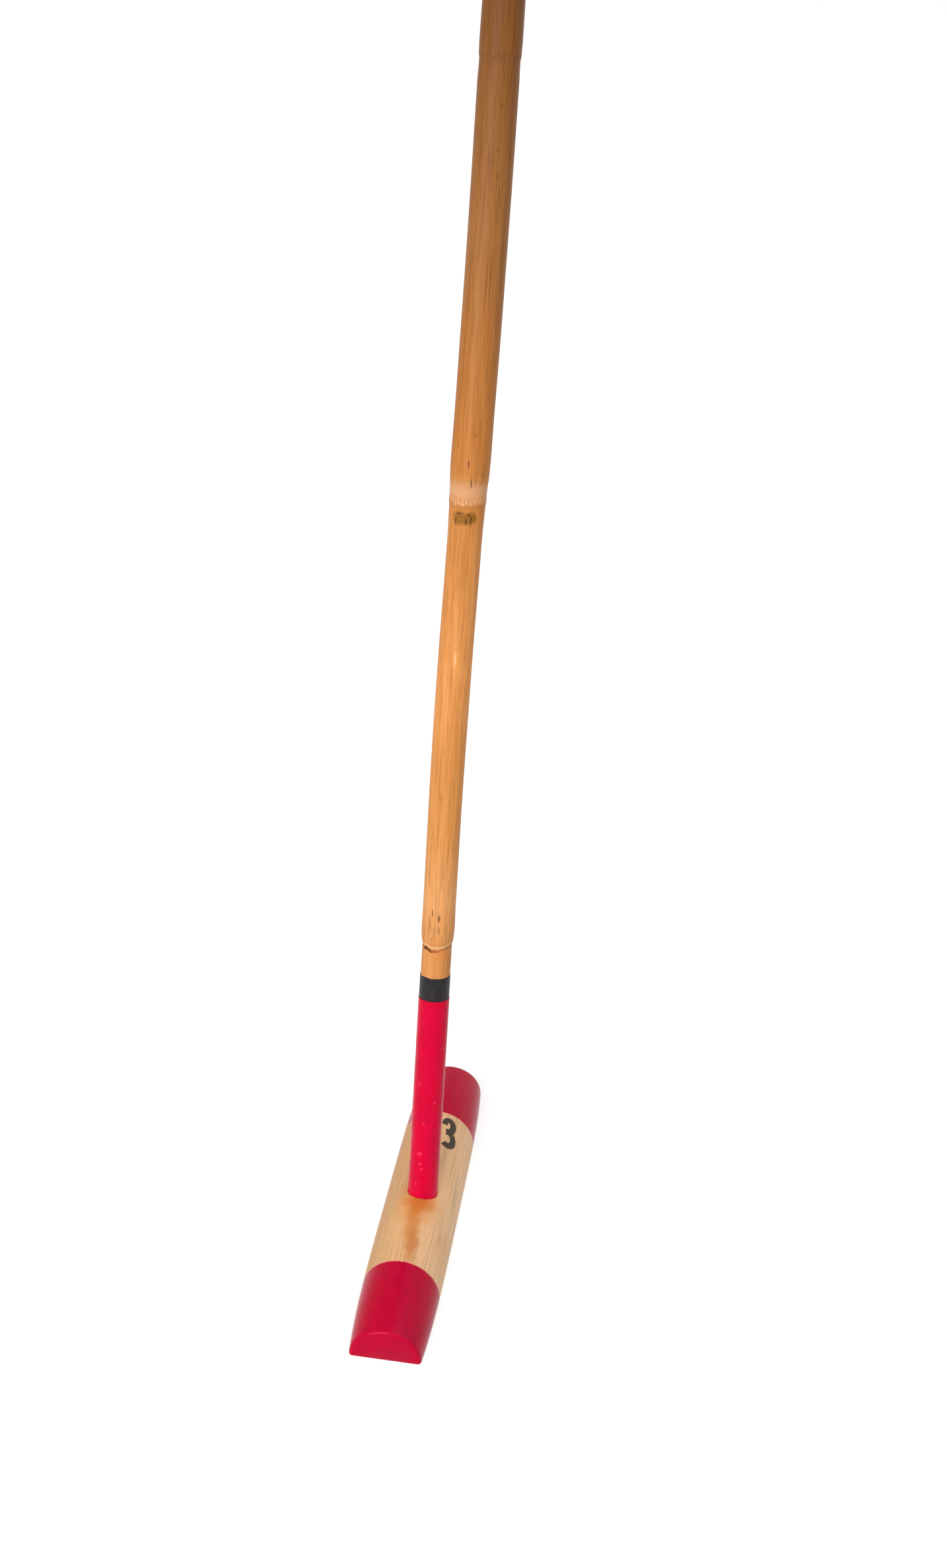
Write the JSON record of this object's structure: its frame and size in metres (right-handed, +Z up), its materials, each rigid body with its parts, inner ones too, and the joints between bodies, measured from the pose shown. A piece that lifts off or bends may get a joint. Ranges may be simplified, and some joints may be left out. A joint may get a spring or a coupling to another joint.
{
  "type": "polo mallet",
  "caption": "Polo mallet: wooden head with a flat sole, leaning rattan cane, wound grip and wrist sling.",
  "frame": {"origin": "centre of the head's flat sole, which rests on the ground", "axes": "+Z up from the sole; Y along the head, with the cane leaning toward +Y; X across the head"},
  "size_m": [0.0531, 0.4121, 1.3199],
  "materials": {
    "head_wood": "clear varnish, ends dipped in red gloss",
    "wedge_wood": "bare",
    "cane": "varnished rattan",
    "sleeve": "gloss",
    "band": "satin",
    "handle_wood": "sanded",
    "pins": "drawn",
    "cushion": "matte",
    "grip": "matte, fine grain",
    "collar": "satin",
    "webbing": "woven cotton",
    "steel": "zinc plated"
  },
  "bodies": {
    "mallet": {"head": "head_wood", "head_wedge": "wedge_wood", "head_nail": "pins", "cane": "cane", "foot_sleeve": "sleeve", "foot_band": "band", "handle_front": "handle_wood", "handle_back": "handle_wood", "handle_pins": "pins", "cushion_tape": "cushion", "grip_tape": "grip", "grip_collar": "collar", "sling_root": "webbing", "sling_tacks": "steel"},
    "sling": {"sling_loop": "webbing"}
  },
  "joints": [
    {"name": "sling_swing", "type": "hinge", "parent": "mallet", "child": "sling", "pos_m": [0.00452, 0.27005, 1.26567], "axis": [1, 0, 0], "range_deg": [-4, 150]}
  ]
}
